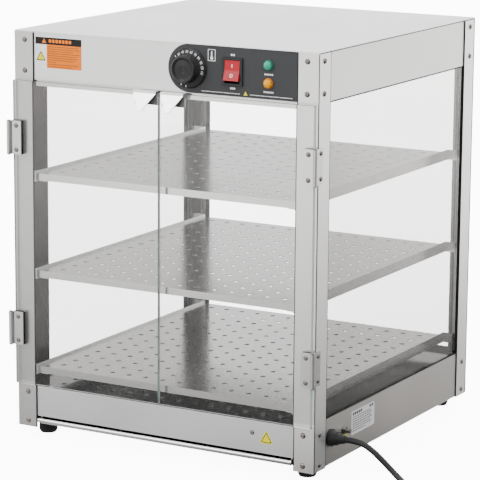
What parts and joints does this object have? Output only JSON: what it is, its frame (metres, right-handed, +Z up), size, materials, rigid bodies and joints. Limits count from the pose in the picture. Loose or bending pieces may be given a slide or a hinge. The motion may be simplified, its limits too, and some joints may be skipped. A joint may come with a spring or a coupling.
{
  "type": "hot food display case",
  "caption": "Countertop heated display case: steel housing on angle posts, glass sides, hinged glass doors, perforated shelves and a pull-out crumb tray.",
  "frame": {"origin": "centre of the footprint without the cord, on the plane the rubber feet stand on", "axes": "+Z up, -Y towards the front doors, +X to the right seen from the front"},
  "size_m": [0.5572, 0.578, 0.488],
  "materials": {
    "brushed_steel": "brushed",
    "post_steel": "brushed",
    "base_steel": "brushed",
    "shelf_steel": "satin",
    "mirror_steel": "polished",
    "tray_steel": "satin",
    "clip_steel": "satin",
    "hinge_steel": "satin",
    "screw_steel": "polished",
    "stud_steel": "satin",
    "element_steel": "oxidised",
    "clear_glass": "clear",
    "seal_rubber": "matte",
    "foot_rubber": "matte",
    "magnet_black": "matte",
    "overlay_black": "satin",
    "knob_black": "gloss",
    "phenolic": "matte",
    "copper": "satin",
    "switch_black": "gloss",
    "rocker_red": "translucent gloss",
    "lamp_green": "ribbed lens",
    "lamp_amber": "ribbed lens",
    "ceramic": "glazed",
    "wire_red": "silicone",
    "gland_black": "moulded",
    "cord_black": "moulded",
    "plug_black": "moulded",
    "sticker_vinyl": "printed"
  },
  "bodies": {
    "case": {"roof_panel": "brushed_steel", "front_fascia": "brushed_steel", "upper_side_panels": "brushed_steel", "upper_rear_panel": "brushed_steel", "ceiling_panel": "mirror_steel", "post_front_left": "post_steel", "post_front_right": "post_steel", "post_rear_left": "post_steel", "post_rear_right": "post_steel", "base_front_panel": "base_steel", "base_left_panel": "base_steel", "base_right_panel": "base_steel", "base_rear_panel": "base_steel", "bottom_plate": "base_steel", "heater_deck": "mirror_steel", "shelf_rails": "shelf_steel", "side_glass": "clear_glass", "rear_glass": "clear_glass", "glass_seals": "seal_rubber", "post_hinge_leaves": "hinge_steel", "hinge_pins": "screw_steel", "post_hinge_screws": "screw_steel", "case_screws": "screw_steel", "door_magnets": "magnet_black", "control_overlay": "overlay_black", "thermostat_body": "phenolic", "thermostat_bulb": "copper", "rocker_housing": "switch_black", "green_lamp": "lamp_green", "amber_lamp": "lamp_amber", "rubber_feet": "foot_rubber", "heating_element": "element_steel", "heater_brackets": "shelf_steel", "terminal_block": "ceramic", "wiring_loom": "wire_red", "cord_gland": "gland_black", "power_cord": "cord_black", "cord_coil": "cord_black", "mains_plug": "plug_black", "earth_stud": "stud_steel", "stickers": "sticker_vinyl"},
    "left_door": {"left_door_glass": "clear_glass", "left_door_handle": "clip_steel", "left_hinge_leaves": "hinge_steel", "left_hinge_pads": "seal_rubber", "left_hinge_clamps": "hinge_steel", "left_hinge_screws": "screw_steel"},
    "right_door": {"right_door_glass": "clear_glass", "right_door_handle": "clip_steel", "right_hinge_leaves": "hinge_steel", "right_hinge_pads": "seal_rubber", "right_hinge_clamps": "hinge_steel", "right_hinge_screws": "screw_steel"},
    "knob": {"thermostat_knob": "knob_black", "thermostat_shaft": "screw_steel"},
    "rocker": {"rocker_button": "rocker_red"},
    "tray": {"crumb_tray": "tray_steel"},
    "top_shelf": {"shelf_top": "shelf_steel"},
    "middle_shelf": {"shelf_middle": "shelf_steel"},
    "bottom_shelf": {"shelf_bottom": "shelf_steel"}
  },
  "joints": [
    {"name": "left_door_hinge", "type": "hinge", "parent": "case", "child": "left_door", "pos_m": [-0.2026, -0.2064, 0.2475], "axis": [0, 0, -1], "range_deg": [0, 225]},
    {"name": "right_door_hinge", "type": "hinge", "parent": "case", "child": "right_door", "pos_m": [0.2026, -0.2064, 0.2475], "axis": [0, 0, 1], "range_deg": [0, 225]},
    {"name": "knob_turn", "type": "hinge", "parent": "case", "child": "knob", "pos_m": [0.036, -0.196, 0.4595], "axis": [0, 1, 0], "range_deg": [0, 270]},
    {"name": "rocker_press", "type": "hinge", "parent": "case", "child": "rocker", "pos_m": [0.092, -0.1904, 0.4595], "axis": [1, 0, 0], "range_deg": [0, 20]},
    {"name": "tray_slide", "type": "slide", "parent": "case", "child": "tray", "axis": [0, -1, 0], "range_m": [0, 0.3]},
    {"name": "top_shelf_lift", "type": "slide", "parent": "case", "child": "top_shelf", "axis": [0, 0, 1], "range_m": [0, 0.02]},
    {"name": "middle_shelf_lift", "type": "slide", "parent": "case", "child": "middle_shelf", "axis": [0, 0, 1], "range_m": [0, 0.02]},
    {"name": "bottom_shelf_lift", "type": "slide", "parent": "case", "child": "bottom_shelf", "axis": [0, 0, 1], "range_m": [0, 0.02]}
  ]
}
